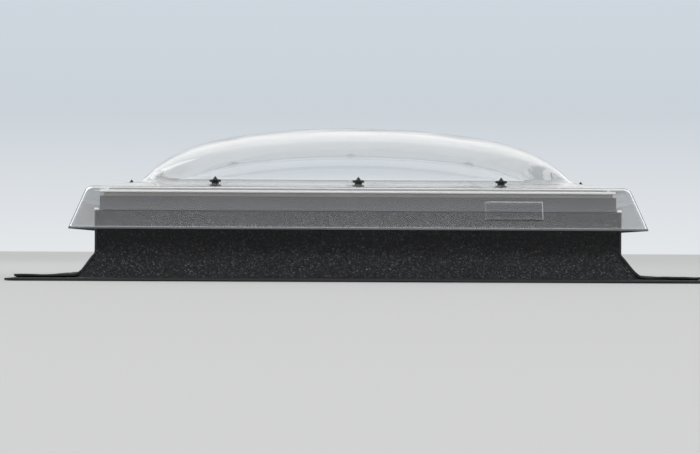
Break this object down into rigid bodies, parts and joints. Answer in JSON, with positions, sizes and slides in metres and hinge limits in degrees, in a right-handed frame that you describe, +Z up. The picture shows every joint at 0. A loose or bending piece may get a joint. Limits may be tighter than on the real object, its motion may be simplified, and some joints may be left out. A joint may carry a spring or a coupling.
{
  "type": "roof skylight",
  "caption": "Square fixed domed rooflight: clear crowned dome with flange and skirt over a double-glazed frame on an insulated kerb dressed in roofing felt.",
  "frame": {"origin": "middle of the light opening, on the roof deck that the kerb stands on", "axes": "+Z up and out of the roof, -Y towards the front skirt, which carries the raised plate"},
  "size_m": [1.3746, 1.3746, 0.3433],
  "materials": {
    "clear_acrylic": "gloss",
    "white_plastic": "gloss",
    "grey_cladding": "satin",
    "warm_grey_rubber": "matte",
    "black_rubber": "matte",
    "grey_foam": "matte",
    "black_plastic": "satin",
    "natural_plastic": "matte",
    "mineral_felt": "matte",
    "plated_steel": "satin",
    "mill_aluminium": "satin",
    "clear_glass": "gloss",
    "white_foam": "matte",
    "wood_fibre": "matte"
  },
  "bodies": {
    "rooflight": {"kerb_profile_front": "white_plastic", "kerb_profile_right": "white_plastic", "kerb_profile_back": "white_plastic", "kerb_profile_left": "white_plastic", "kerb_insulation": "white_foam", "cant_strip_front": "wood_fibre", "cant_strip_right": "wood_fibre", "cant_strip_back": "wood_fibre", "cant_strip_left": "wood_fibre", "felt_front": "mineral_felt", "felt_right": "mineral_felt", "felt_back": "mineral_felt", "felt_left": "mineral_felt", "frame_gasket": "black_rubber", "glazing_frame": "white_plastic", "frame_screws": "plated_steel", "cladding_front": "grey_cladding", "cladding_right": "grey_cladding", "cladding_back": "grey_cladding", "cladding_left": "grey_cladding", "nosing_gasket": "warm_grey_rubber", "glazing_gasket": "black_rubber", "inner_pane": "clear_glass", "outer_pane": "clear_glass", "pane_spacer": "mill_aluminium", "edge_sealant": "black_rubber", "setting_blocks": "black_plastic", "bead_gasket": "black_rubber", "glazing_bead_front": "white_plastic", "glazing_bead_right": "white_plastic", "glazing_bead_back": "white_plastic", "glazing_bead_left": "white_plastic", "dome_cover": "clear_acrylic", "cover_seal": "grey_foam", "stud_sleeves": "natural_plastic", "cover_studs": "plated_steel"},
    "washer_1": {"washer_1": "black_rubber"},
    "knob_1": {"wing_knob_1": "black_plastic"},
    "washer_2": {"washer_2": "black_rubber"},
    "knob_2": {"wing_knob_2": "black_plastic"},
    "washer_3": {"washer_3": "black_rubber"},
    "knob_3": {"wing_knob_3": "black_plastic"},
    "washer_4": {"washer_4": "black_rubber"},
    "knob_4": {"wing_knob_4": "black_plastic"},
    "washer_5": {"washer_5": "black_rubber"},
    "knob_5": {"wing_knob_5": "black_plastic"},
    "washer_6": {"washer_6": "black_rubber"},
    "knob_6": {"wing_knob_6": "black_plastic"},
    "washer_7": {"washer_7": "black_rubber"},
    "knob_7": {"wing_knob_7": "black_plastic"},
    "washer_8": {"washer_8": "black_rubber"},
    "knob_8": {"wing_knob_8": "black_plastic"},
    "washer_9": {"washer_9": "black_rubber"},
    "knob_9": {"wing_knob_9": "black_plastic"},
    "washer_10": {"washer_10": "black_rubber"},
    "knob_10": {"wing_knob_10": "black_plastic"},
    "washer_11": {"washer_11": "black_rubber"},
    "knob_11": {"wing_knob_11": "black_plastic"},
    "washer_12": {"washer_12": "black_rubber"},
    "knob_12": {"wing_knob_12": "black_plastic"}
  },
  "joints": [
    {"name": "washer_1_rise", "type": "slide", "parent": "rooflight", "child": "washer_1", "axis": [0, 0, 1], "range_m": [0, 0.004]},
    {"name": "knob_1_turn", "type": "hinge", "parent": "washer_1", "child": "knob_1", "pos_m": [-0.294, -0.487, 0.2003], "axis": [0, 0, 1], "range_deg": [0, 1440]},
    {"name": "washer_2_rise", "type": "slide", "parent": "rooflight", "child": "washer_2", "axis": [0, 0, 1], "range_m": [0, 0.004]},
    {"name": "knob_2_turn", "type": "hinge", "parent": "washer_2", "child": "knob_2", "pos_m": [0, -0.487, 0.2003], "axis": [0, 0, 1], "range_deg": [0, 1440]},
    {"name": "washer_3_rise", "type": "slide", "parent": "rooflight", "child": "washer_3", "axis": [0, 0, 1], "range_m": [0, 0.004]},
    {"name": "knob_3_turn", "type": "hinge", "parent": "washer_3", "child": "knob_3", "pos_m": [0.294, -0.487, 0.2003], "axis": [0, 0, 1], "range_deg": [0, 1440]},
    {"name": "washer_4_rise", "type": "slide", "parent": "rooflight", "child": "washer_4", "axis": [0, 0, 1], "range_m": [0, 0.004]},
    {"name": "knob_4_turn", "type": "hinge", "parent": "washer_4", "child": "knob_4", "pos_m": [0.487, -0.294, 0.2003], "axis": [0, 0, 1], "range_deg": [0, 1440]},
    {"name": "washer_5_rise", "type": "slide", "parent": "rooflight", "child": "washer_5", "axis": [0, 0, 1], "range_m": [0, 0.004]},
    {"name": "knob_5_turn", "type": "hinge", "parent": "washer_5", "child": "knob_5", "pos_m": [0.487, 0, 0.2003], "axis": [0, 0, 1], "range_deg": [0, 1440]},
    {"name": "washer_6_rise", "type": "slide", "parent": "rooflight", "child": "washer_6", "axis": [0, 0, 1], "range_m": [0, 0.004]},
    {"name": "knob_6_turn", "type": "hinge", "parent": "washer_6", "child": "knob_6", "pos_m": [0.487, 0.294, 0.2003], "axis": [0, 0, 1], "range_deg": [0, 1440]},
    {"name": "washer_7_rise", "type": "slide", "parent": "rooflight", "child": "washer_7", "axis": [0, 0, 1], "range_m": [0, 0.004]},
    {"name": "knob_7_turn", "type": "hinge", "parent": "washer_7", "child": "knob_7", "pos_m": [0.294, 0.487, 0.2003], "axis": [0, 0, 1], "range_deg": [0, 1440]},
    {"name": "washer_8_rise", "type": "slide", "parent": "rooflight", "child": "washer_8", "axis": [0, 0, 1], "range_m": [0, 0.004]},
    {"name": "knob_8_turn", "type": "hinge", "parent": "washer_8", "child": "knob_8", "pos_m": [0, 0.487, 0.2003], "axis": [0, 0, 1], "range_deg": [0, 1440]},
    {"name": "washer_9_rise", "type": "slide", "parent": "rooflight", "child": "washer_9", "axis": [0, 0, 1], "range_m": [0, 0.004]},
    {"name": "knob_9_turn", "type": "hinge", "parent": "washer_9", "child": "knob_9", "pos_m": [-0.294, 0.487, 0.2003], "axis": [0, 0, 1], "range_deg": [0, 1440]},
    {"name": "washer_10_rise", "type": "slide", "parent": "rooflight", "child": "washer_10", "axis": [0, 0, 1], "range_m": [0, 0.004]},
    {"name": "knob_10_turn", "type": "hinge", "parent": "washer_10", "child": "knob_10", "pos_m": [-0.487, 0.294, 0.2003], "axis": [0, 0, 1], "range_deg": [0, 1440]},
    {"name": "washer_11_rise", "type": "slide", "parent": "rooflight", "child": "washer_11", "axis": [0, 0, 1], "range_m": [0, 0.004]},
    {"name": "knob_11_turn", "type": "hinge", "parent": "washer_11", "child": "knob_11", "pos_m": [-0.487, 0, 0.2003], "axis": [0, 0, 1], "range_deg": [0, 1440]},
    {"name": "washer_12_rise", "type": "slide", "parent": "rooflight", "child": "washer_12", "axis": [0, 0, 1], "range_m": [0, 0.004]},
    {"name": "knob_12_turn", "type": "hinge", "parent": "washer_12", "child": "knob_12", "pos_m": [-0.487, -0.294, 0.2003], "axis": [0, 0, 1], "range_deg": [0, 1440]}
  ],
  "couplings": [
    {"joint": "knob_1_turn", "follows": "washer_1_rise", "rad_per_m": 6283.2},
    {"joint": "knob_2_turn", "follows": "washer_2_rise", "rad_per_m": 6283.2},
    {"joint": "knob_3_turn", "follows": "washer_3_rise", "rad_per_m": 6283.2},
    {"joint": "knob_4_turn", "follows": "washer_4_rise", "rad_per_m": 6283.2},
    {"joint": "knob_5_turn", "follows": "washer_5_rise", "rad_per_m": 6283.2},
    {"joint": "knob_6_turn", "follows": "washer_6_rise", "rad_per_m": 6283.2},
    {"joint": "knob_7_turn", "follows": "washer_7_rise", "rad_per_m": 6283.2},
    {"joint": "knob_8_turn", "follows": "washer_8_rise", "rad_per_m": 6283.2},
    {"joint": "knob_9_turn", "follows": "washer_9_rise", "rad_per_m": 6283.2},
    {"joint": "knob_10_turn", "follows": "washer_10_rise", "rad_per_m": 6283.2},
    {"joint": "knob_11_turn", "follows": "washer_11_rise", "rad_per_m": 6283.2},
    {"joint": "knob_12_turn", "follows": "washer_12_rise", "rad_per_m": 6283.2}
  ]
}
